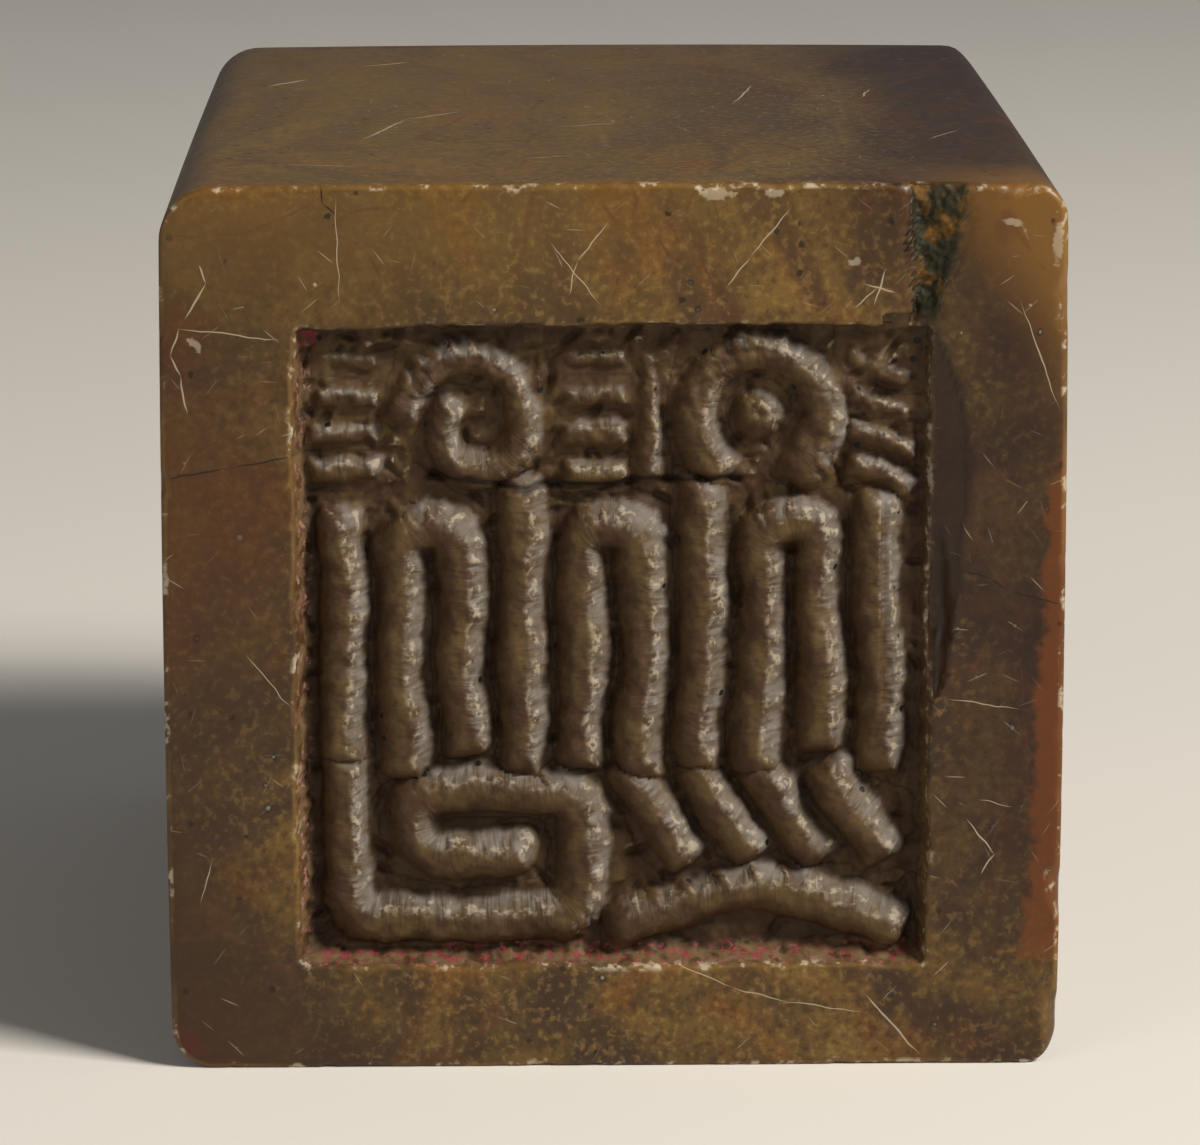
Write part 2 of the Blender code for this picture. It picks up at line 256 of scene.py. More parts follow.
def hand_cut(x, z, seed):
    """A small shift of place that wanders from spot to spot, as a hand-held tool does."""
    shift = np.zeros(x.shape)
    for index, (cell, reach) in enumerate(WANDER):
        shift += reach * noise(x, 0.0, z, cell, seed + index)
    return shift


def cut_strokes(x, z):
    """The strokes' surface: back + fall * (distance / reach) ** squareness, the least over all strokes. Steps
    like a saw's teeth run along each chiselled flank. Returns the depth, the way along, and how far a place
    lies towards the chisel's side."""
    moved_x = x + hand_cut(x, z, 11)
    moved_z = z + hand_cut(x, z, 21)
    depth = np.full(x.shape, 9.0)
    along = np.zeros(x.shape)
    facing = np.zeros(x.shape)
    slur = noise(x, 0.0, z, 0.8, 41)
    strength = 0.35 + 0.65 * ramp(noise(x, 3.0, z, 1.3, 43), -0.6, 0.5)
    planed = 0.07 * noise(x, 9.0, z, 0.60, 44) + 0.03 * noise(x, 9.0, z, 0.28, 45)
    kinds = ((bars, BAR_CUT), (curls, CURL_CUT), (thin, THIN_CUT), (boss, BOSS_CUT))
    order = 0
    for paths, (back, fall, reach, square) in kinds:
        for path in paths:
            order += 1
            distance, way, step_x, step_z = near_path(moved_x, moved_z, path)
            sway = noise(way, order * 7.3, 0.0, 1.7, 31)
            share = distance / (reach * (1 + 0.10 * sway))
            lit = (step_x * CHISEL_SIDE[0] + step_z * CHISEL_SIDE[1]) / reach
            tooth = way / CHATTER_STEP + 0.9 * slur + 0.8 * lit
            tooth = tooth - np.floor(tooth)
            chips = CHATTER_DEPTH * strength * tooth * ramp(share, 0.05, 0.5) * ramp(lit, -0.05, 0.25)
            shape = square + (FACET_SQUARE - square) * ramp(lit, 0.0, 0.25)
            here = back + 0.13 * sway + planed * (1 - ramp(share, 0.6, 1.1)) + fall * share**shape + chips
            wins = here < depth
            depth = np.where(wins, here, depth)
            along = np.where(wins, way + order * 3.1, along)
            facing = np.where(wins, lit, facing)
    return depth, along, facing


def cut_ground(columns, rows):
    """The floor between the strokes: many short strokes of a gouge, each the shape of half an egg, and where
    several cross, the deepest."""
    random = np.random.default_rng(5)
    ground = np.zeros((len(rows), len(columns)))
    for _ in range(SCOOPS):
        middle_x = random.uniform(FIELD_LEFT, FIELD_RIGHT)
        middle_z = random.uniform(FIELD_FOOT, FIELD_TOP)
        turn = random.normal(0.5, 0.8)
        length = random.uniform(0.35, 0.85)
        width = random.uniform(0.13, 0.25)
        deep = random.uniform(0.12, 0.34)
        i0, i1 = np.searchsorted(columns, (middle_x - length, middle_x + length))
        j0, j1 = np.searchsorted(rows, (middle_z - length, middle_z + length))
        x, z = np.meshgrid(columns[i0:i1] - middle_x, rows[j0:j1] - middle_z)
        along = (x * np.cos(turn) + z * np.sin(turn)) / length
        aside = (z * np.cos(turn) - x * np.sin(turn)) / width
        scoop = deep * np.clip(1 - along**2 - aside**2, 0, 1) * (0.75 + 0.25 * along)
        ground[j0:j1, i0:i1] = np.maximum(ground[j0:j1, i0:i1], scoop)
    return ground


# Damage to the carved end, in X and Z of the face: a natural hollow that breaks through the top edge, a flake
# lost beside the field, a hollow in the field's right wall, a crack across the field and chips in the edges.
HOLLOW_LEFT_Z = (24.9, 25.7, 26.7, 27.6, 28.5, 29.3, 30.3)
HOLLOW_LEFT_X = (9.95, 9.87, 9.97, 10.06, 9.78, 9.86, 9.80)
HOLLOW_RIGHT_Z = (24.9, 25.7, 26.4, 27.4, 28.7, 30.3)
HOLLOW_RIGHT_X = (10.35, 10.80, 10.98, 11.32, 11.85, 12.05)
HOLLOW_DEPTH = 0.66
FLAKE_Z = (12.4, 13.4, 14.8, 16.2, 18.2, 19.3, 21.6, 23.3, 24.7, 25.4, 25.9)
FLAKE_X = (10.70, 11.00, 11.25, 11.57, 11.61, 11.87, 11.91, 11.66, 11.14, 10.72, 10.50)
FLAKE_DEPTH = 0.46
WALL_HOLLOW = (10.72, 15.9, 0.62, 3.3, 0.75)
FIELD_CRACK = ((-6.1, 20.44), (-3.0, 19.95), (-0.2, 20.03), (2.5, 20.29), (4.2, 20.2))
NOTCHES = (
    (3.4, 30.3, 0.9, 0.16),
    (5.6, 30.3, 1.0, 0.10),
    (10.9, 30.3, 1.5, 0.42),
    (13.6, 30.2, 0.7, 0.22),
    (15.1, 26.4, 1.3, 0.22),
    (15.1, 6.0, 1.0, 0.36),
    (14.9, 1.4, 1.3, 0.50),
    (-15.1, 20.3, 0.5, 0.14),
)


def breaks(x, z):
    """How deep the hollow, the flake and the broken wall go, and where each one is, from 0 to 1."""
    rough = noise(x, 5.0, z, 0.35, 51)
    left = np.interp(z, HOLLOW_LEFT_Z, HOLLOW_LEFT_X) + 0.07 * noise(x, 1.0, z, 0.5, 52)
    right = np.interp(z, HOLLOW_RIGHT_Z, HOLLOW_RIGHT_X) + 0.12 * noise(x, 2.0, z, 0.7, 53)
    share = (x - left) / (right - left)
    inside = (z > HOLLOW_LEFT_Z[0]) & (share > 0) & (share < 1)
    bowl = np.minimum(ramp(share, 0.0, 0.13), (1 - np.clip(share, 0, 1)) ** 0.8)
    hollow = np.where(inside, HOLLOW_DEPTH * bowl * (1 + 0.35 * rough), 0) * ramp(z, 24.9, 26.0)
    hollow_mask = np.where(inside, ramp(bowl, 0.0, 0.25), 0) * ramp(z, 25.2, 26.2)
    rim = np.interp(z, FLAKE_Z, FLAKE_X, left=0.0, right=0.0) + 0.05 * noise(x, 4.0, z, 1.1, 54)
    inward = rim - x
    flake = np.where(inward > 0, 0.11 * ramp(inward, 0, 0.10) + FLAKE_DEPTH * (inward / 1.3) ** 1.3, 0)
    flake = np.clip(flake, 0, 0.62)
    flake_mask = ramp(inward, -0.02, 0.10) * ramp(x, 9.9, 10.4)
    cx, cz, half_x, half_z, deep = WALL_HOLLOW
    away = ((x - cx) / half_x) ** 2 + ((z - cz) / half_z) ** 2 + 0.35 * noise(x, 6.0, z, 0.8, 55)
    wall = deep * np.sqrt(np.clip(1 - away, 0, 1))
    depth = np.maximum(np.maximum(hollow, flake * (x > 9.0)), wall)
    return depth, hollow_mask, np.maximum(flake_mask, ramp(wall, 0.05, 0.3))


def border(x, z):
    """The flat of the border: rubbed down more towards the outer edges, and very slightly uneven."""
    away = np.maximum(np.abs(x) / HALF_WIDTH, np.abs(z - HALF_HEIGHT) / HALF_HEIGHT)
    uneven = 0.5 + 0.5 * noise(x, 0.0, z, 5.0, 61)
    return FACE_ROUNDING * away**5 + 0.02 * uneven


def field_reach(x, z):
    """How far inside the field's rim a place is, with the rim crumbling here and there and its corners round.
    Each side counts in its own wall's run, so that 1 is the wall's foot."""
    crumble = 0.07 * noise(x, 0.0, z, 1.6, 71) + 0.06 * noise(x, 0.0, z, 0.45, 72)
    left_run, right_run, foot_run, top_run = WALL_SLOPES
    from_left = (x - FIELD_LEFT + crumble) / left_run
    from_right = (FIELD_RIGHT - x + crumble) / right_run
    from_foot = (z - FIELD_FOOT + crumble) / foot_run
    from_top = (FIELD_TOP - z + crumble) / top_run
    sideways = np.minimum(from_left, from_right)
    upright = np.minimum(from_foot, from_top)
    corner = 0.6
    both = np.hypot(corner - sideways, corner - upright)
    return np.where(np.maximum(sideways, upright) < corner, corner - both, np.minimum(sideways, upright))


def blur(values, reach):
    """The mean over a window of 2 * reach + 1 rows and columns, taken twice."""
    for axis in (0, 1, 0, 1):
        width = [(reach + 1, reach) if a == axis else (0, 0) for a in (0, 1)]
        total = np.cumsum(np.pad(values, width, mode="edge"), axis=axis)
        size = values.shape[axis]
        ahead = np.take(total, np.arange(size) + 2 * reach + 1, axis=axis)
        values = (ahead - np.take(total, np.arange(size), axis=axis)) / (2 * reach + 1)
    return values


# The field's grid, and what the material needs to know of each place on it
columns = np.linspace(FIELD_LEFT - GRID_MARGIN, FIELD_RIGHT + GRID_MARGIN, GRID_COLUMNS + 1)
rows = np.linspace(FIELD_FOOT - GRID_MARGIN, FIELD_TOP + GRID_MARGIN, GRID_ROWS + 1)
grid_x, grid_z = np.meshgrid(columns, rows)
strokes, along, facing = cut_strokes(grid_x, grid_z)
gouged = cut_ground(columns, rows)
crumbs = 0.045 * noise(grid_x, 0.0, grid_z, 0.24, 84)
swell = noise(grid_x, 0.0, grid_z, 0.9, 81)
upper_row = ramp(grid_z, FIELD_FOOT + 0.72 * (FIELD_TOP - FIELD_FOOT), FIELD_TOP - 2.0)
ground = 1.10 + gouged + 0.08 * swell + crumbs - upper_row * (0.25 + 0.20 * swell)
strokes = strokes + upper_row * (0.5 * gouged + 1.2 * crumbs)
crack_distance = near_path(grid_x, grid_z + 0.10 * noise(grid_x, 0.0, grid_z, 0.6, 82), FIELD_CRACK)[0]
crack = np.exp(-((crack_distance / 0.11) ** 2))
scales = 1.5 * crumbs * ramp(facing, 0.0, 0.3)
cut = np.minimum(ground, strokes + 0.30 * gouged * ramp(strokes, 0.4, 0.9) + scales) + 0.30 * crack
reach_in = field_reach(grid_x, grid_z)
uneven_wall = 1 + 0.18 * noise(grid_x, 0.0, grid_z, 0.30, 83)
wall = FIELD_DEPTH * np.clip(reach_in, 0, 1.4) ** 0.8 * uneven_wall
field = np.where(reach_in > 0, np.minimum(wall, cut), 0)
broken, hollow_mask, flake_mask = breaks(grid_x, grid_z)
grid_depth = border(grid_x, grid_z) + np.maximum(field, broken)
wide_mean = blur(grid_depth, 7)
near_mean = blur(grid_depth, 3)
inside = ramp(reach_in, -0.03, 0.20)
from_lit = np.minimum(grid_x - FIELD_LEFT, grid_z - FIELD_FOOT)
from_dark = np.minimum(FIELD_RIGHT - grid_x, FIELD_TOP - grid_z)
grid_marks = {
    "carved": inside,
    "sunk": np.clip((grid_depth - wide_mean) / 0.35, -1, 1) * inside,
    "sharp": np.clip((grid_depth - near_mean) / 0.10, -1, 1) * inside,
    "along": along,
    "facing": facing * inside,
    "hollow": hollow_mask,
    "flake": flake_mask * (1 - inside * 0.6),
    "crack": crack * inside,
    # painted light: the walls at the left and foot, which face the lamp, get the full share, the walls in
    # shade little
    "wall": inside * (1 - ramp(reach_in, 0.70, 1.05)) * np.where(from_lit < from_dark, 1.0, 0.15),
    "stroke": inside * ramp(ground - strokes, -0.02, 0.22),
    "rim": np.exp(-((reach_in / 0.15) ** 2)),
    "paste": inside * np.maximum(
        ramp(grid_z, FIELD_FOOT + 0.9, FIELD_FOOT + 0.3),
        np.maximum(
            ramp(np.hypot(grid_x - FIELD_LEFT, grid_z - FIELD_TOP), 1.3, 0.6),
            0.45 * ramp(grid_x, FIELD_LEFT + 0.7, FIELD_LEFT + 0.2),
        ),
    ),
}

# The rings, from the grid's edge to the block's outline, over the front edge, along the sides and round the
# plain end. They start with as many corners as the grid's edge has, and are halved twice behind the edge.
edge_row = np.concatenate([
    np.zeros(GRID_COLUMNS, int),
    np.arange(GRID_ROWS),
    np.full(GRID_COLUMNS, GRID_ROWS),
    GRID_ROWS - np.arange(GRID_ROWS),
])
edge_column = np.concatenate([
    np.arange(GRID_COLUMNS),
    np.full(GRID_ROWS, GRID_COLUMNS),
    GRID_COLUMNS - np.arange(GRID_COLUMNS),
    np.zeros(GRID_ROWS, int),
])
across = 2 * edge_column / GRID_COLUMNS - 1
up = 2 * edge_row / GRID_ROWS - 1
inner_x = columns[edge_column]
inner_z = rows[edge_row]

edge_x, edge_z = outline(across, up, 0.0)
edge_worn = 0.5 + 0.5 * noise(edge_x, 0.0, edge_z, 2.2, 91)
edge_nicked = np.clip(noise(edge_x, 0.0, edge_z, 0.55, 92) - 0.35, 0, 1)
crisp = CRISP_RADIUS * (0.75 + 0.6 * edge_worn) + 0.20 * edge_nicked
for notch_x, notch_z, half_length, extra in NOTCHES:
    away = np.hypot(edge_x - notch_x, edge_z - notch_z) / half_length
    crisp = crisp + extra * ramp(1 - away, 0.0, 0.6) * (1 + 0.3 * noise(edge_x, 1.0, edge_z, 0.4, 93))
face_x, face_z = outline(across, up, crisp)

BORDER_STEPS = np.concatenate([np.full(8, 0.13), np.full(8, 0.33), np.full(4, 0.14)])
EDGE_TURNS = np.radians((30, 60, 90))
rings = []
for share in np.cumsum(BORDER_STEPS) / BORDER_STEPS.sum():
    x = inner_x + share * (face_x - inner_x)
    z = inner_z + share * (face_z - inner_z)
    rings.append((x, np.full(x.shape, FRONT), z, 1.0))
for turn in EDGE_TURNS:
    x, z = outline(across, up, crisp * (1 - np.sin(turn)))
    rings.append((x, FRONT + crisp * (1 - np.cos(turn)), z, np.cos(turn) ** 0.5))
SIDE_STEPS = ((1, 0.75), (2, 1.1), (2, 1.6), (2, 2.2), (4, 3.2))
for thinning, way in SIDE_STEPS:
    x, z = outline(across[::thinning], up[::thinning], 0.0)
    rings.append((x, np.full(x.shape, FRONT + way), z, 0.0))
side_start = FRONT + 4.4
for y in np.linspace(side_start, BACK - BACK_RADIUS, 15):
    x, z = outline(across[::4], up[::4], 0.0)
    rings.append((x, np.full(x.shape, y), z, 0.0))
for turn in np.radians((18, 36, 54, 72, 90)):
    x, z = outline(across[::4], up[::4], BACK_RADIUS * (1 - np.cos(turn)))
    rings.append((x, np.full(x.shape, BACK - BACK_RADIUS * (1 - np.sin(turn))), z, 0.0))
last_x, last_y, last_z, _ = rings[-1]
for share in (0.85, 0.68, 0.5, 0.3, 0.12):
    rings.append((last_x * share, last_y, HALF_HEIGHT + (last_z - HALF_HEIGHT) * share, 0.0))

ring_start = grid_x.size + np.cumsum([0] + [len(ring[0]) for ring in rings])
ring_x = np.concatenate([ring[0] for ring in rings])
ring_y = np.concatenate([ring[1] for ring in rings])
ring_z = np.concatenate([ring[2] for ring in rings])
on_face = np.concatenate([np.full(len(ring[0]), ring[3]) for ring in rings])
ring_broken, ring_hollow, ring_flake = breaks(ring_x, ring_z)
ring_y = ring_y + on_face * (border(ring_x, ring_z) + ring_broken)
ring_rim = np.exp(-(((ring_y - FRONT - 0.10) / 0.14) ** 2)) * (on_face < 0.99)
ring_marks = {name: np.zeros(ring_x.size) for name in grid_marks}
ring_marks["hollow"] = ring_hollow * on_face
ring_marks["flake"] = ring_flake * on_face
ring_marks["rim"] = ring_rim

# The far upper right corner is worn away, as if by a ball that nearly fills the block
WORN_DEPTH = 1.50
WORN_SHARE = 1.22


def wear(x, y, z):
    """Draws in the sides a little away from their middles, and brings what is outside the worn ball to it."""
    tall = (z - HALF_HEIGHT) / HALF_HEIGHT
    deep = y / BACK
    x = x * (1 - BULGE / HALF_WIDTH * (0.75 * tall**2 + 0.25 * deep**2))
    wide = x / HALF_WIDTH
    z = z - BULGE * (0.7 * wide**2 + 0.3 * deep**2) * np.clip(tall, 0, 1)
    corner = np.array((HALF_WIDTH, BACK, 2 * HALF_HEIGHT))
    inward = np.array((0.0, 0.0, HALF_HEIGHT)) - corner
    radius = WORN_SHARE * np.linalg.norm(inward)
    middle = corner + inward / np.linalg.norm(inward) * (WORN_DEPTH + radius)
    off = np.stack([x, y, z], axis=-1) - middle
    far = np.linalg.norm(off, axis=-1)
    off = off * np.minimum(1, radius / far)[..., None]
    return middle + off


grid_points = np.stack([grid_x.ravel(), FRONT + grid_depth.ravel(), grid_z.ravel()])
ring_points = np.stack([ring_x, ring_y, ring_z])
middle_point = np.array([[0.0], [BACK], [HALF_HEIGHT]])
points = wear(*np.concatenate([grid_points, ring_points, middle_point], axis=1))

corner = np.arange(GRID_ROWS)[:, None] * (GRID_COLUMNS + 1) + np.arange(GRID_COLUMNS)
grid_faces = np.stack([corner, corner + 1, corner + GRID_COLUMNS + 2, corner + GRID_COLUMNS + 1], axis=-1)
faces = grid_faces.reshape(-1, 4).tolist()
inner = edge_row * (GRID_COLUMNS + 1) + edge_column
for start, ring in zip(ring_start, rings):
    outer = start + np.arange(len(ring[0]))
    if len(outer) == len(inner):
        quads = np.stack([inner, outer, np.roll(outer, -1), np.roll(inner, -1)], axis=-1)
        faces += quads.tolist()
    else:
        even, odd, after = inner[::2], inner[1::2], np.roll(inner[::2], -1)
        beyond = np.roll(outer, -1)
        for three in ((even, outer, odd), (odd, outer, beyond), (odd, beyond, after)):
            faces += np.stack(three, axis=-1).tolist()
    inner = outer
tip = np.full(inner.shape, len(points) - 1)
faces += np.stack([inner, tip, np.roll(inner, -1)], axis=-1).tolist()

block_mesh = bpy.data.meshes.new("soapstone_block")
block_mesh.from_pydata((points * METRES).tolist(), [], faces)
block_mesh.shade_smooth()
for name in grid_marks:
    mark = block_mesh.attributes.new(name, "FLOAT", "POINT")
    mark.data.foreach_set("value", np.concatenate([grid_marks[name].ravel(), ring_marks[name], [0.0]]))
block = bpy.data.objects.new("soapstone_block", block_mesh)
bpy.context.scene.collection.objects.link(block)
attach(block, "root")
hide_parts("seal")

# Soapstone, hand-rubbed and waxed to a dull, fatty polish. Its colour drifts from olive and honey to
# red-brown, with veins and dark grains, and the cut field is dry and crushed. Its paleness on the sides that
# face the lamp is partly a painted highlight, and its clefts and turned-away flanks carry painted shade.
# Light enters the real stone a little way, which is left out here to keep the render quick.
OLIVE = "#513e1c"
HONEY = "#6e5325"
UMBER = "#34210f"
RUSSET = "#220f07"
AMBER = "#5e300a"
GOLD = "#74501f"
CRUSHED_AND_LIT = "#767068"
CRUMBLED_AND_LIT = "#6c5538"
GRIME = "#160c05"
MOSS = "#191b07"
OCHRE = "#64440f"
PASTE = "#7a1c2c"
BRUISE_AND_HIGHLIGHT = "#b5a890"
OCHRE_CLOUD = "#6a3f12"
DUSK = "#33221a"
FLECK = "#8a6c3a"
RUDDY = "#4d2a0e"
RED_BROWN = "#4a2914"
PASTE_STAIN = "#4a1715"
VEIN = "#4d2a18"
RED_VEIN = "#4e1c10"
CUT_LIGHT = "#4f3b1c"
CUT_DARK = "#3c2511"
CUT_SPECK = "#2e1b09"
SHEARED_SHADE = "#35200b"
CLEFT_SHADE_AND_GRIME = "#33200c"
DEEP_CLEFT_SHADE_AND_GRIME = "#24160a"
PIT = "#0b0d10"
EDGE_GLOW = "#8d6c36"
FLAKE_BROWN = "#2b1a10"
MOSS_BROWN = "#2e2710"


def linear(code):
    """The linear RGBA of an sRGB hex colour."""
    parts = [int(code[i : i + 2], 16) / 255 for i in (1, 3, 5)]
    return tuple(p / 12.92 if p <= 0.04045 else ((p + 0.055) / 1.055) ** 2.4 for p in parts) + (1.0,)


stone = bpy.data.materials.new("waxed_soapstone")
stone.use_nodes = True
tree = stone.node_tree
tree.nodes.clear()


def add(kind, links=(), **settings):
    """Adds a node, gives it its settings, and links or fills its inputs, by name or number."""
    made = tree.nodes.new(kind)
    for key, value in settings.items():
        setattr(made, key, value)
    for key, value in dict(links).items():
        if isinstance(value, bpy.types.NodeSocket):
            tree.links.new(value, made.inputs[key])
        else:
            made.inputs[key].default_value = value
    return made


def lay(share, below, above):
    """One colour laid over another by a share from 0 to 1."""
    above = linear(above) if isinstance(above, str) else above
    below = linear(below) if isinstance(below, str) else below
    return add("ShaderNodeMix", {0: share, 6: below, 7: above}, data_type="RGBA").outputs[2]


def times(*values):
    """The product of numbers and sockets."""
    total = values[0]
    for value in values[1:]:
        total = add("ShaderNodeMath", {0: total, 1: value}, operation="MULTIPLY").outputs[0]
    return total


def plus(*values):
    """The sum of numbers and sockets."""
    total = values[0]
    for value in values[1:]:
        total = add("ShaderNodeMath", {0: total, 1: value}, operation="ADD").outputs[0]
    return total


def larger(*values):
    """The largest of several masks."""
    total = values[0]
    for value in values[1:]:
        total = add("ShaderNodeMath", {0: total, 1: value}, operation="MAXIMUM").outputs[0]
    return total


def between(value, low, high, start=0.0, end=1.0):
    """From start at low to end at high, with level ends."""
    limits = {0: value, 1: low, 2: high, 3: start, 4: end}
    return add("ShaderNodeMapRange", limits, interpolation_type="SMOOTHSTEP").outputs[0]


def cloud(size, detail, where=None):
    """Soft random spots of a size in millimetres."""
    inputs = {"Vector": where or place, "Scale": 1 / size, "Detail": detail, "Roughness": 0.62}
    return add("ShaderNodeTexNoise", inputs).outputs[0]


def mark(name):
    """One of the numbers kept for each corner of the mesh."""
    return add("ShaderNodeAttribute", attribute_name=name).outputs["Fac"]


# Where the stone's bedding draws clouds out along its length, and how far and how broadly they drift, in mm
BEDDING = (1.0, 0.4, 1.0)
DRIFT_SIZE = 9.0
DRIFT_REACH = 9.0
place = add("ShaderNodeTexCoord").outputs["Object"]
place = add("ShaderNodeVectorMath", {0: place, 3: 1 / METRES}, operation="SCALE").outputs[0]
at_x, at_y, at_z = add("ShaderNodeSeparateXYZ", {0: place}).outputs
layers = add("ShaderNodeVectorMath", {0: place, 1: BEDDING}, operation="MULTIPLY").outputs[0]
drift = add("ShaderNodeTexNoise", {"Vector": layers, "Scale": 1 / DRIFT_SIZE, "Detail": 0.0})
drift = add("ShaderNodeVectorMath", {0: drift.outputs["Color"], 1: (0.5, 0.5, 0.5)}, operation="SUBTRACT")
drift = {0: drift.outputs[0], 1: (DRIFT_REACH,) * 3, 2: layers}
drifted = add("ShaderNodeVectorMath", drift, operation="MULTIPLY_ADD").outputs[0]
far_x, far_y, far_z = add("ShaderNodeSeparateXYZ", {0: drifted}).outputs
carved, sunk, sharp, facing = mark("carved"), mark("sunk"), mark("sharp"), mark("facing")
hollow, flake, rim, lit_wall_mark = mark("hollow"), mark("flake"), mark("rim"), mark("wall")
polished = add("ShaderNodeMath", {0: 1.0, 1: carved}, operation="SUBTRACT").outputs[0]

# The body's colour: olive with clouds of honey and umber, russet at the right, amber along the right edge
fine = cloud(1.1, 3.0)
broad = cloud(7.0, 2.0, drifted)
colour = lay(between(broad, 0.34, 0.68, 0.0, 0.75), OLIVE, HONEY)
ochre_cloud = cloud(4.0, 2.0, drifted)
dusky_cloud = cloud(3.3, 2.0, drifted)
colour = lay(between(ochre_cloud, 0.50, 0.66, 0.0, 0.70), colour, OCHRE_CLOUD)
colour = lay(between(dusky_cloud, 0.54, 0.36, 0.0, 0.75), colour, DUSK)
colour = lay(between(fine, 0.60, 0.32, 0.0, 0.55), colour, UMBER)
speckled = cloud(0.30, 2.0)
colour = lay(between(speckled, 0.50, 0.70, 0.0, 0.45), colour, FLECK)
colour = lay(between(speckled, 0.48, 0.30, 0.0, 0.60), colour, UMBER)
# painted shade: darker towards the lower left and along the left edge, away from the lamp at the upper right
low_left_shade = between(plus(at_x, times(at_z, 0.8), times(fine, 4.0)), -2.0, -9.0, 0.0, 0.84)
colour = lay(low_left_shade, colour, UMBER)
behind = between(at_y, -12.0, 18.0, 0.0, 0.40)
colour = lay(behind, colour, UMBER)
left_shade = between(plus(far_x, times(far_z, -0.25)), -11.0, -17.0, 0.0, 0.62)
colour = lay(times(left_shade, between(at_z, 30.2, 29.0)), colour, UMBER)
high_share = times(between(at_z, 24.0, 29.5, 0.0, 0.45), between(at_x, 14.0, -4.0))
colour = lay(high_share, colour, HONEY)
ruddy = times(between(far_x, -10.0, -13.0), between(far_z, 26.0, 23.5))
ruddy = times(ruddy, between(far_z, 13.0, 18.0), 0.45)
colour = lay(ruddy, colour, RUDDY)
red_share = between(plus(far_x, times(fine, 3.0)), 8.5, 13.5, 0.0, 0.88)
red_share = times(red_share, between(far_z, 4.0, 11.0, 0.45, 1.0), between(broad, 0.36, 0.56, 1.0, 0.85))
colour = lay(red_share, colour, RUSSET)
colour = lay(times(red_share, between(fine, 0.48, 0.66), 0.3), colour, RED_BROWN)
near_front = between(plus(far_y, at_y, times(broad, 16.0), times(fine, 4.0)), -8.0, -17.0)
top_corner = between(plus(far_x, at_x, at_z), 48.0, 57.0, 0.0, 0.85)
top_corner = times(top_corner, near_front)
colour = lay(top_corner, colour, GOLD)
amber_edge = plus(times(far_x, 0.35), at_x, times(fine, 2.2))
amber_share = between(amber_edge, 20.4, 21.0, 0.0, 0.80)
amber_share = times(amber_share, between(far_z, 25.0, 21.0), between(far_z, 3.5, 5.0))
amber_share = times(amber_share, near_front)
colour = lay(amber_share, colour, AMBER)
low_corner = between(plus(times(at_x, -1.0), times(at_z, -1.0)), 11.5, 14.5, 0.0, 0.8)
colour = lay(times(low_corner, between(fine, 0.3, 0.6)), colour, PASTE_STAIN)

# Veins: thin, wavering sheets through the stone
vein = add("ShaderNodeMath", {0: broad, 1: 0.47}, operation="SUBTRACT").outputs[0]
vein = add("ShaderNodeMath", {0: vein}, operation="ABSOLUTE").outputs[0]
vein = times(between(vein, 0.010, 0.0), between(fine, 0.40, 0.60))
colour = lay(times(vein, 0.5), colour, VEIN)

# Scratches of use: in each cell of a random foam one flat sheet crosses the surface in a fine straight line.
# Real ones are finer than the render shows, so they are drawn a little wider. Some cells have none.
FOAM_CELL = 0.85
LINE_HALF_WIDTH = 0.014
LINE_HALF_LENGTH = 0.45
LINE_STRENGTH = 0.75
CELLS_WITHOUT = 0.42
skin = add("ShaderNodeTexCoord").outputs["Normal"]


def reach(where, way):
    """How far a place lies along a way: their dot product."""
    return add("ShaderNodeVectorMath", {0: where, 1: way}, operation="DOT_PRODUCT").outputs["Value"]


def standing(sheet):
    """Full where a thin sheet stands across the surface, and nothing where it lies in it and would show as
    a blot: a level-ended fall over the size of the dot product of the sheet's and the surface's normals."""
    lying = reach(skin, sheet)
    return between(add("ShaderNodeMath", {0: lying}, operation="ABSOLUTE").outputs[0], 0.90, 0.65)


foam = add("ShaderNodeTexVoronoi", {"Vector": place, "Scale": 1 / FOAM_CELL})
step = add("ShaderNodeVectorMath", {0: place, 1: foam.outputs["Position"]}, operation="SUBTRACT").outputs[0]
sheet = add("ShaderNodeVectorMath", {0: foam.outputs["Color"], 1: (0.5, 0.5, 0.5)}, operation="SUBTRACT")
sheet = add("ShaderNodeVectorMath", {0: sheet.outputs[0]}, operation="NORMALIZE").outputs[0]
aside = add("ShaderNodeMath", {0: reach(step, sheet)}, operation="ABSOLUTE").outputs[0]
away = add("ShaderNodeVectorMath", {0: step}, operation="LENGTH").outputs["Value"]
_, pit_pick, pick = add("ShaderNodeSeparateColor", {0: foam.outputs["Color"]}).outputs
line = between(aside, LINE_HALF_WIDTH * 1.6, LINE_HALF_WIDTH * 0.4)
line = times(line, between(away, LINE_HALF_LENGTH, LINE_HALF_LENGTH * 0.4), LINE_STRENGTH, standing(sheet))
scratch_share = times(line, between(pick, CELLS_WITHOUT, CELLS_WITHOUT + 0.5))
speck = plus(away, times(speckled, 0.22))
scratch_share = larger(scratch_share, times(between(speck, 0.20, 0.13), between(pick, 0.60, 0.66), 0.9))

# Dark grains, in clusters, one to a cell of the same foam
grain_share = times(
    between(plus(foam.outputs["Distance"], times(speckled, 0.32)), 0.325, 0.27),
    between(plus(dusky_cloud, times(fine, 0.3)), 0.66, 0.57),
)
colour = lay(times(grain_share, 0.75), colour, GRIME)

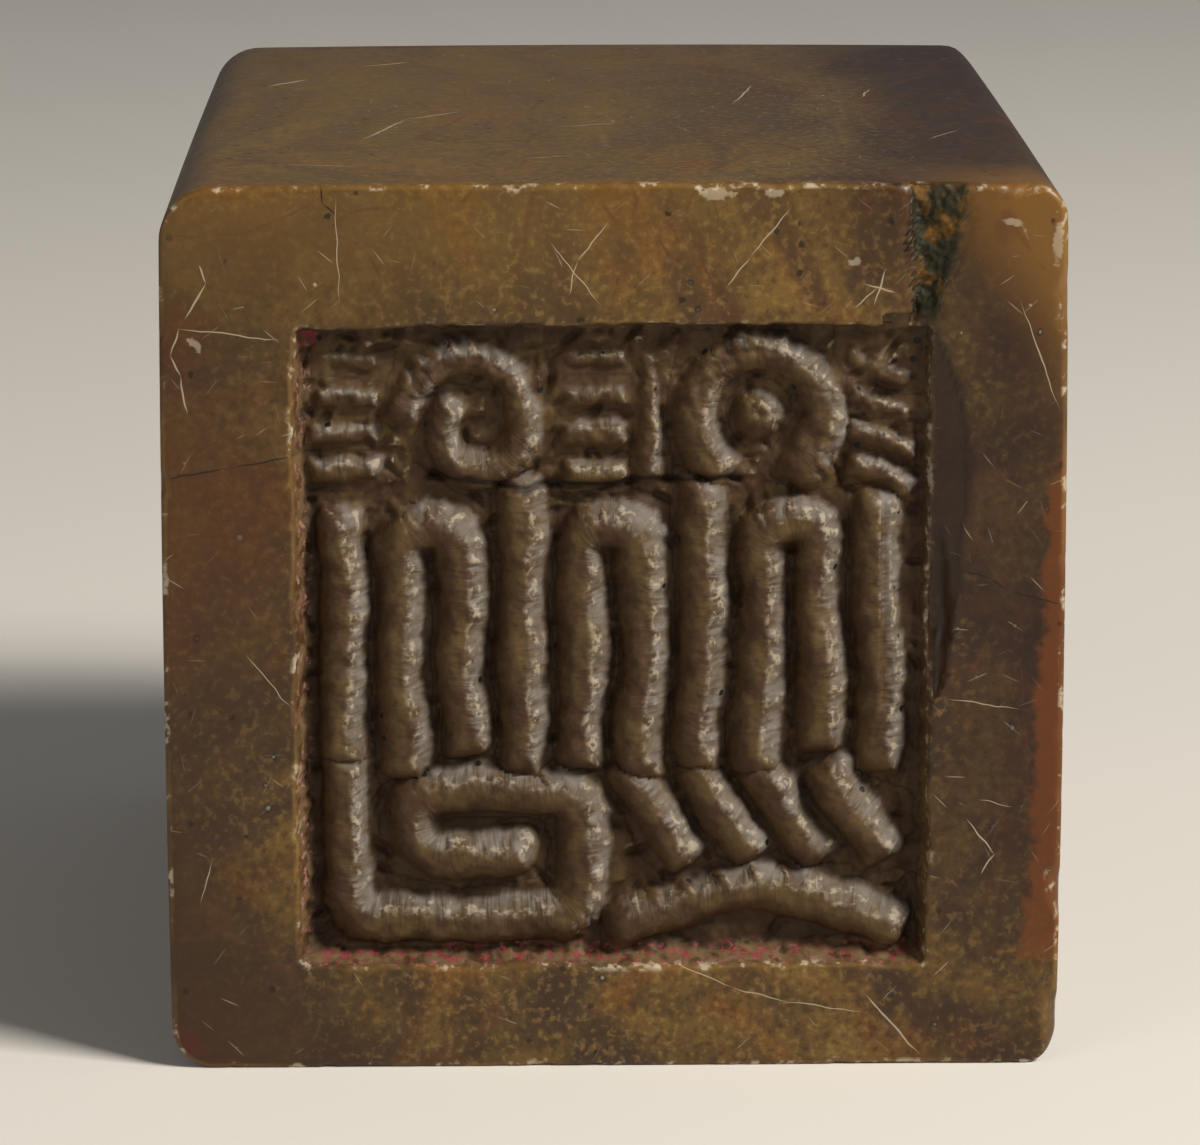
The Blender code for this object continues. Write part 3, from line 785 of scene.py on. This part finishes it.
# The deeper scratches that catch the eye, in X and Z of the carved end, or in X and Y of the upper side, and
# the cracks, each with its half width
END_SCRATCHES = (
    (0.040, ((-13.7, 27.6), (-13.5, 27.0), (-14.2, 25.8))),
    (0.030, ((-14.4, 25.5), (-11.1, 25.1))),
    (0.036, ((-14.4, 25.5), (-14.7, 24.6), (-14.4, 23.9), (-14.2, 22.6))),
    (0.022, ((-9.2, 29.8), (-9.1, 26.4))),
    (0.026, ((-2.1, 28.3), (-0.5, 26.3))),
    (0.028, ((-0.2, 29.0), (-1.2, 27.7), (-1.5, 26.6))),
    (0.030, ((5.8, 29.4), (4.5, 27.8), (3.7, 26.8))),
    (0.026, ((13.5, 26.2), (14.8, 22.7))),
    (0.024, ((-12.3, 14.4), (-10.9, 12.6))),
    (0.022, ((-14.0, 5.8), (-13.6, 7.3))),
    (0.026, ((1.7, 3.75), (4.0, 2.75), (5.8, 2.25), (8.4, 1.85))),
    (0.045, ((8.5, 2.5), (10.3, 0.4))),
    (0.022, ((11.2, 12.8), (13.6, 12.4))),
    (0.040, ((9.0, 27.4), (8.6, 26.2))),
    (0.030, ((8.3, 26.9), (9.3, 26.6))),
    (0.026, ((8.0, 26.1), (8.7, 26.8))),
    (0.035, ((11.9, 8.6), (12.8, 7.4), (12.4, 6.7))),
    (0.018, ((12.3, 9.3), (13.4, 9.0))),
)
UPPER_SCRATCHES = (
    (0.110, ((-12.4, 6.3), (-11.0, 8.2))),
    (0.080, ((-9.0, 12.2), (-7.2, 13.4))),
    (0.045, ((-1.6, -6.2), (0.4, -5.2))),
    (0.050, ((9.6, 2.2), (10.0, 4.4))),
    (0.030, ((-3.0, -14.2), (-1.2, -13.6))),
    (0.035, ((11.2, -9.4), (12.4, -7.0))),
    (0.060, ((-8.5, -9.0), (-7.1, -3.9), (-5.1, -1.7))),
    (0.030, ((-11.3, -15.1), (-8.4, -15.9))),
    (0.050, ((4.8, 0.3), (5.7, 5.6))),
)
UPPER_VEINS = (
    (0.16, ((-11.5, -12.5), (-6.5, -10.5), (-1.5, -9.5), (6.0, -10.5))),
    (0.20, ((5.0, -8.5), (7.0, -13.5), (9.5, -18.5))),
    (0.75, ((-14.0, 18.0), (-1.0, 19.5))),
    (0.30, ((2.0, 6.0), (9.0, 2.5))),
)
END_BRUISES = (
    (0.42, ((2.5, 29.95), (4.3, 29.90))),
    (0.36, ((4.7, 29.95), (6.0, 29.95))),
    (0.24, ((12.7, 28.95), (13.8, 28.9))),
    (0.30, ((7.6, 27.7), (8.4, 27.6))),
    (0.45, ((14.7, 29.6), (14.7, 26.8))),
    (0.40, ((-14.2, 25.3), (-13.6, 24.6))),
)
END_CRACKS = (
    (0.045, ((-15.1, 20.4), (-12.8, 20.8), (-10.5, 21.2))),
    (0.050, ((11.6, 17.2), (12.6, 16.9), (13.2, 16.5), (15.0, 16.0))),
    (0.040, ((-9.7, 30.2), (-9.6, 29.6), (-9.2, 29.3))),
)
THROUGH = 1.5
REACH = 0.62


def lines_on(lines, upper):
    """Slim almonds along straight stretches: 1 - the length of (along / half length, aside / half width,
    through) at the nearest one, and never below 0. They lie on the upper side where upper is true, and
    otherwise on the carved end."""
    nearest = 9.0
    through = times(at_z if upper else at_y, 1 / THROUGH)
    level = HIGH[2] if upper else FRONT
    for half_width, places in lines:
        for (ax, az), (bx, bz) in zip(places, places[1:]):
            length = np.hypot(bx - ax, bz - az)
            run, rise = (bx - ax) / length, (bz - az) / length
            along_way = np.array((run, rise)) / (REACH * length)
            aside_way = np.array((-rise, run)) / half_width
            middle = np.array((ax + bx, az + bz)) / 2
            sides = [(u, v, 0.0) if upper else (u, 0.0, v) for u, v in (along_way, aside_way)]
            local = {0: reach(wavered, sides[0]), 1: reach(wavered, sides[1]), 2: through}
            local = add("ShaderNodeCombineXYZ", local).outputs[0]
            centre = (middle @ along_way, middle @ aside_way, level / THROUGH)
            away = add("ShaderNodeVectorMath", {0: local, 1: centre}, operation="DISTANCE").outputs["Value"]
            nearest = add("ShaderNodeMath", {0: nearest, 1: away}, operation="MINIMUM").outputs[0]
    return larger(add("ShaderNodeMath", {0: 1.0, 1: nearest}, operation="SUBTRACT").outputs[0], 0.0)


waver = add("ShaderNodeTexNoise", {"Vector": place, "Scale": 1 / 0.5, "Detail": 0.0})
waver = add("ShaderNodeVectorMath", {0: waver.outputs["Color"], 1: (0.5, 0.5, 0.5)}, operation="SUBTRACT")
waver = add("ShaderNodeVectorMath", {0: waver.outputs[0], 1: (0.12,) * 3, 2: place}, operation="MULTIPLY_ADD")
wavered = waver.outputs[0]
deep_scratch = times(larger(lines_on(END_SCRATCHES, False), lines_on(UPPER_SCRATCHES, True)), polished)
deep_scratch = between(deep_scratch, 0.05, 0.45)
bruises = plus(times(lines_on(END_BRUISES, False), 0.8), times(speckled, 0.9), times(fine, 0.5))
bruises = times(between(bruises, 1.08, 1.26), polished, 0.65)
crack_line = times(lines_on(END_CRACKS, False), polished)
crack_line = between(crack_line, 0.05, 0.5)
scratches = larger(times(scratch_share, polished, between(ochre_cloud, 0.62, 0.40, 0.25, 1.0)), deep_scratch)
scratches = larger(scratches, bruises)
red_vein = times(between(lines_on(UPPER_VEINS, True), 0.05, 0.7), between(fine, 0.36, 0.56), 0.6)
colour = lay(red_vein, colour, RED_VEIN)
colour = lay(times(scratches, 0.62), colour, BRUISE_AND_HIGHLIGHT)
colour = lay(times(crack_line, 0.85), colour, GRIME)

# The carved field: waxy brown where the chisel sheared cleanly, with painted shade on the flanks that face
# away from the lamp at the upper right. It is whitish and scaly on the broad facets and on the crumbled walls
# at the left and foot, where crushed stone and a painted highlight on the sides facing the lamp are laid
# together. Painted shade and grime darken the clefts, and red seal paste is left in the corners and along the
# foot.
stroke_place = {0: times(mark("along"), 1 / 0.15), 1: times(facing, 1.3), 2: times(at_z, 0.3)}
stroke_way = add("ShaderNodeCombineXYZ", stroke_place)
streaks = add("ShaderNodeTexNoise", {"Vector": stroke_way.outputs[0], "Scale": 1.0, "Detail": 2.0}).outputs[0]
rough_cloud = cloud(0.45, 1.0)
cut_colour = lay(between(fine, 0.35, 0.65), CUT_LIGHT, CUT_DARK)
cut_colour = lay(between(speckled, 0.46, 0.30, 0.0, 0.5), cut_colour, CUT_SPECK)
# painted shade: the flanks turned away from the lamp at the upper right are darkened
cut_colour = lay(between(facing, -0.1, -0.8, 0.0, 0.5), cut_colour, SHEARED_SHADE)
upper_left = times(between(at_x, -3.0, -7.0), between(at_z, 20.0, 21.5), 0.16)
ragged = plus(facing, times(streaks, 0.7), times(rough_cloud, 0.5), upper_left)
# crushed stone and painted highlight: the whitish, scaly strip and its haze lie only on the flanks facing the
# lamp
scaly_and_lit = times(between(ragged, 0.66, 0.98), mark("stroke"), between(facing, -0.02, 0.15))
patchy = between(fine, 0.38, 0.60, 0.15, 1.0)
hazy_and_lit = times(between(ragged, 0.55, 1.0), mark("stroke"), between(facing, -0.15, 0.15), 0.30)
cut_colour = lay(hazy_and_lit, cut_colour, CRUSHED_AND_LIT)
cut_colour = lay(times(scaly_and_lit, patchy, between(streaks, 0.35, 0.6, 0.35, 1.0), 0.75), cut_colour, CRUSHED_AND_LIT)
# painted highlight: bright flecks on the crests, on the side facing the lamp
crest_highlight = times(between(sharp, -0.3, -0.9), between(speckled, 0.46, 0.62), between(facing, -0.05, 0.25), 0.50)
cut_colour = lay(crest_highlight, cut_colour, BRUISE_AND_HIGHLIGHT)
# painted shade and grime: places sunk below their surroundings are darkened
cut_colour = lay(between(sunk, 0.25, 0.85, 0.0, 0.6), cut_colour, CLEFT_SHADE_AND_GRIME)
# crumbled stone and painted light: the walls facing the lamp are paler, with bright specks
crumbled_and_lit = times(lit_wall_mark, between(plus(rough_cloud, times(fine, 0.6)), 0.62, 0.86))
cut_colour = lay(times(crumbled_and_lit, 0.75), cut_colour, CRUMBLED_AND_LIT)
cut_colour = lay(times(lit_wall_mark, between(speckled, 0.58, 0.68), 0.5), cut_colour, BRUISE_AND_HIGHLIGHT)
# painted shade and grime in the deepest clefts
cut_colour = lay(between(sunk, 0.7, 1.0, 0.0, 0.4), cut_colour, DEEP_CLEFT_SHADE_AND_GRIME)
cut_colour = lay(times(mark("crack"), 0.85), cut_colour, GRIME)
pit_share = times(between(foam.outputs["Distance"], 0.165, 0.12), between(pit_pick, 0.80, 0.82))
cut_colour = lay(pit_share, cut_colour, PIT)
paste_share = times(mark("paste"), between(speckled, 0.52, 0.62))
cut_colour = lay(times(paste_share, 0.85), cut_colour, PASTE)
colour = lay(carved, colour, cut_colour)
# painted glow: a golden line along the field's rim and the block's front edge stands in for light through the
# stone
colour = lay(times(rim, polished, between(broad, 0.40, 0.60, 0.05, 0.35)), colour, EDGE_GLOW)
colour = lay(times(rim, between(plus(fine, times(speckled, 0.5)), 0.80, 0.92), 0.8), colour, BRUISE_AND_HIGHLIGHT)
colour = lay(times(flake, 0.75), colour, FLAKE_BROWN)
mossy = lay(between(plus(fine, times(at_z, 0.02)), 1.04, 1.16), MOSS, OCHRE)
mossy = lay(between(speckled, 0.46, 0.60, 0.0, 0.6), mossy, MOSS_BROWN)
colour = lay(times(hollow, 0.96), colour, mossy)

# Relief too fine for the mesh, in millimetres: streaks and crushed grain in the field, grain in the hollow
STONE_IOR = 1.50
WAX_GLOSS = 0.32
grain_depth = plus(times(mark("stroke"), 0.025), 0.02)
relief = times(carved, plus(times(streaks, grain_depth), times(rough_cloud, 0.08)))
relief = plus(relief, times(hollow, rough_cloud, 0.30))
bump = add("ShaderNodeBump", {"Height": relief, "Distance": METRES, "Strength": 1.0}).outputs[0]
rough = plus(between(fine, 0.3, 0.7, 0.32, 0.42), times(carved, 0.30))
rough = plus(rough, times(scratches, 0.25), times(hollow, 0.35))
shader = add("ShaderNodeBsdfPrincipled", {"Base Color": colour, "Roughness": rough, "Normal": bump})
shader.inputs["IOR"].default_value = STONE_IOR
shader.inputs["Specular IOR Level"].default_value = WAX_GLOSS
surface = add("ShaderNodeOutputMaterial")
tree.links.new(shader.outputs[0], surface.inputs["Surface"])
block_mesh.materials.append(stone)

# The studio: a pale table that the seal lies on, a soft lamp high at the right for the carving's shadows, a
# weaker one at the left, and an even, dim room.
TABLE_HALF = 1.5
PAPER = "#d9d5cd"
PAPER_ROUGHNESS = 0.9
table_mesh = bpy.data.meshes.new("table_top")
table_corners = [(-TABLE_HALF, -TABLE_HALF, 0), (TABLE_HALF, -TABLE_HALF, 0), (TABLE_HALF, TABLE_HALF, 0)]
table_mesh.from_pydata(table_corners + [(-TABLE_HALF, TABLE_HALF, 0)], [], [(0, 1, 2, 3)])
table = bpy.data.objects.new("table_top", table_mesh)
bpy.context.scene.collection.objects.link(table)
paper = bpy.data.materials.new("pale_paper")
paper.use_nodes = True
paper.node_tree.nodes["Principled BSDF"].inputs["Base Color"].default_value = linear(PAPER)
paper.node_tree.nodes["Principled BSDF"].inputs["Roughness"].default_value = PAPER_ROUGHNESS
table_mesh.materials.append(paper)

# Each lamp: its place and what it looks at, in metres, the side of its square, and its power in watts
LAMPS = {
    "key_lamp": ((0.30, -0.21, 0.34), (0.0, -0.015, 0.012), 0.16, 3.4),
    "fill_lamp": ((-0.40, -0.45, 0.25), (0.0, -0.01, 0.012), 0.40, 0.7),
}
LAMP_TINT = (1.0, 0.95, 0.88)
for name, (spot_from, spot_to, side, power) in LAMPS.items():
    lamp = bpy.data.lights.new(name, "AREA")
    lamp.size = side
    lamp.energy = power
    lamp.color = LAMP_TINT
    holder = bpy.data.objects.new(name, lamp)
    holder.location = spot_from
    holder.rotation_euler = (Vector(spot_to) - Vector(spot_from)).to_track_quat("-Z", "Y").to_euler()
    bpy.context.scene.collection.objects.link(holder)
ROOM = "#e4e6ea"
ROOM_STRENGTH = 0.16
room = bpy.data.worlds.new("dim_room")
room.use_nodes = True
room.node_tree.nodes["Background"].inputs["Color"].default_value = linear(ROOM)
room.node_tree.nodes["Background"].inputs["Strength"].default_value = ROOM_STRENGTH
bpy.context.scene.world = room
bpy.context.scene.view_settings.view_transform = "Standard"

# The camera stands where the photograph was taken from, a little above the carved end and left of its middle
CAMERA_PLACE = Vector((-0.003891, -0.208055, 0.056741))
CAMERA_RIGHT = Vector((0.99983, -0.01845, -0.00143)).normalized()
CAMERA_AHEAD = Vector((0.01776, 0.97833, -0.2063)).normalized()
CAMERA_LENS = 172.1
SENSOR_WIDTH = 36.0
camera_up = CAMERA_RIGHT.cross(CAMERA_AHEAD).normalized()
camera_right = CAMERA_AHEAD.cross(camera_up).normalized()
turned = Matrix((camera_right, camera_up, -CAMERA_AHEAD)).transposed()
lens = bpy.data.cameras.new("camera")
lens.lens = CAMERA_LENS
lens.sensor_width = SENSOR_WIDTH
lens.sensor_fit = "HORIZONTAL"
lens.clip_start = 0.001
camera = bpy.data.objects.new("camera", lens)
camera.matrix_world = Matrix.Translation(CAMERA_PLACE) @ turned.to_4x4()
bpy.context.scene.collection.objects.link(camera)
bpy.context.scene.camera = camera
